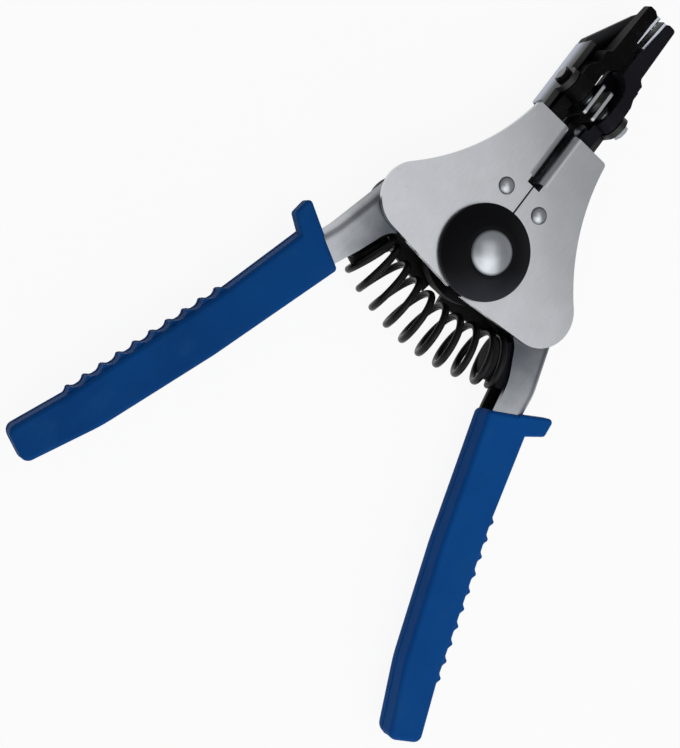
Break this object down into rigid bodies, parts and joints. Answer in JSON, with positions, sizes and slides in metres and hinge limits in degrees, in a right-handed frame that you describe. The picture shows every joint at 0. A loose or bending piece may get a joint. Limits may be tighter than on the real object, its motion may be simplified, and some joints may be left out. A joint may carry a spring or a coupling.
{
  "type": "automatic wire stripper",
  "caption": "Hand tool that clamps a wire and pulls off its insulation: split steel frame on one pivot, channel levers with moulded grips, coil return spring and hinged black jaws.",
  "frame": {"origin": "pivot axis on the rear face of the pivot washer, where the pin ends flush", "axes": "+Z towards the front of the tool, +Y towards the jaws, +X towards its right side"},
  "size_m": [0.1251, 0.178, 0.0194],
  "materials": {
    "satin_plate": "satin plated sheet",
    "dark_plate": "black oxide",
    "satin_lever": "satin plated pressing",
    "bright_steel": "polished",
    "black_cap": "satin black",
    "black_steel": "black oxide",
    "spring_wire": "oiled black wire",
    "blade_steel": "ground",
    "blue_grip": "moulded"
  },
  "bodies": {
    "left_frame": {"left_front_plate": "satin_plate", "left_rear_plate": "dark_plate", "left_frame_rivet": "bright_steel", "left_jaw_bracket": "satin_lever", "left_bracket_rivets": "bright_steel", "left_jaw_pin": "bright_steel", "left_jaw_pin_nut": "black_steel", "left_jaw_spring": "spring_wire", "left_fixed_jaw": "black_steel", "left_rear_pad": "black_steel", "pivot_pin": "bright_steel", "pivot_cap": "black_cap", "pivot_spacer": "black_steel", "rear_washer": "black_steel"},
    "right_frame": {"right_front_plate": "satin_plate", "right_rear_plate": "dark_plate", "right_frame_rivet": "bright_steel", "right_jaw_bracket": "satin_lever", "right_bracket_rivets": "bright_steel", "right_jaw_pin": "bright_steel", "right_jaw_pin_nut": "bright_steel", "right_jaw_spring": "spring_wire", "right_fixed_jaw": "black_steel", "right_rear_blade": "black_steel"},
    "left_lever": {"left_lever": "satin_lever", "left_cam": "black_steel", "left_grip": "blue_grip", "left_spring_seat": "black_steel", "return_spring": "spring_wire"},
    "right_lever": {"right_lever": "satin_lever", "right_cam": "black_steel", "right_grip": "blue_grip", "right_spring_seat": "black_steel"},
    "left_jaw": {"left_moving_jaw": "black_steel", "left_front_pad": "blade_steel"},
    "right_jaw": {"right_moving_jaw": "black_steel", "right_front_blade": "blade_steel"}
  },
  "joints": [
    {"name": "frame_spread", "type": "hinge", "parent": "left_frame", "child": "right_frame", "pos_m": [0, 0, 0], "axis": [0, 0, -1], "range_deg": [0, 16], "stiffness_Nm_per_rad": 0.8, "springref_deg": -17.19},
    {"name": "left_handle_squeeze", "type": "hinge", "parent": "left_frame", "child": "left_lever", "pos_m": [0, 0, 0], "axis": [0, 0, 1], "range_deg": [0, 8], "stiffness_Nm_per_rad": 0.8, "springref_deg": -17.19, "deforming": ["return_spring"]},
    {"name": "right_handle_squeeze", "type": "hinge", "parent": "right_frame", "child": "right_lever", "pos_m": [0, 0, 0], "axis": [0, 0, -1], "range_deg": [0, 8]},
    {"name": "left_jaw_close", "type": "hinge", "parent": "left_frame", "child": "left_jaw", "pos_m": [0, 0.046, 0.0123], "axis": [-1, 0, 0], "range_deg": [0, 12]},
    {"name": "right_jaw_close", "type": "hinge", "parent": "right_frame", "child": "right_jaw", "pos_m": [0, 0.046, 0.0123], "axis": [-1, 0, 0], "range_deg": [0, 12]}
  ],
  "couplings": [
    {"joint": "right_handle_squeeze", "follows": "left_handle_squeeze", "ratio": 1},
    {"joint": "left_jaw_close", "follows": "left_handle_squeeze", "ratio": 1.5},
    {"joint": "right_jaw_close", "follows": "left_handle_squeeze", "ratio": 1.5}
  ]
}
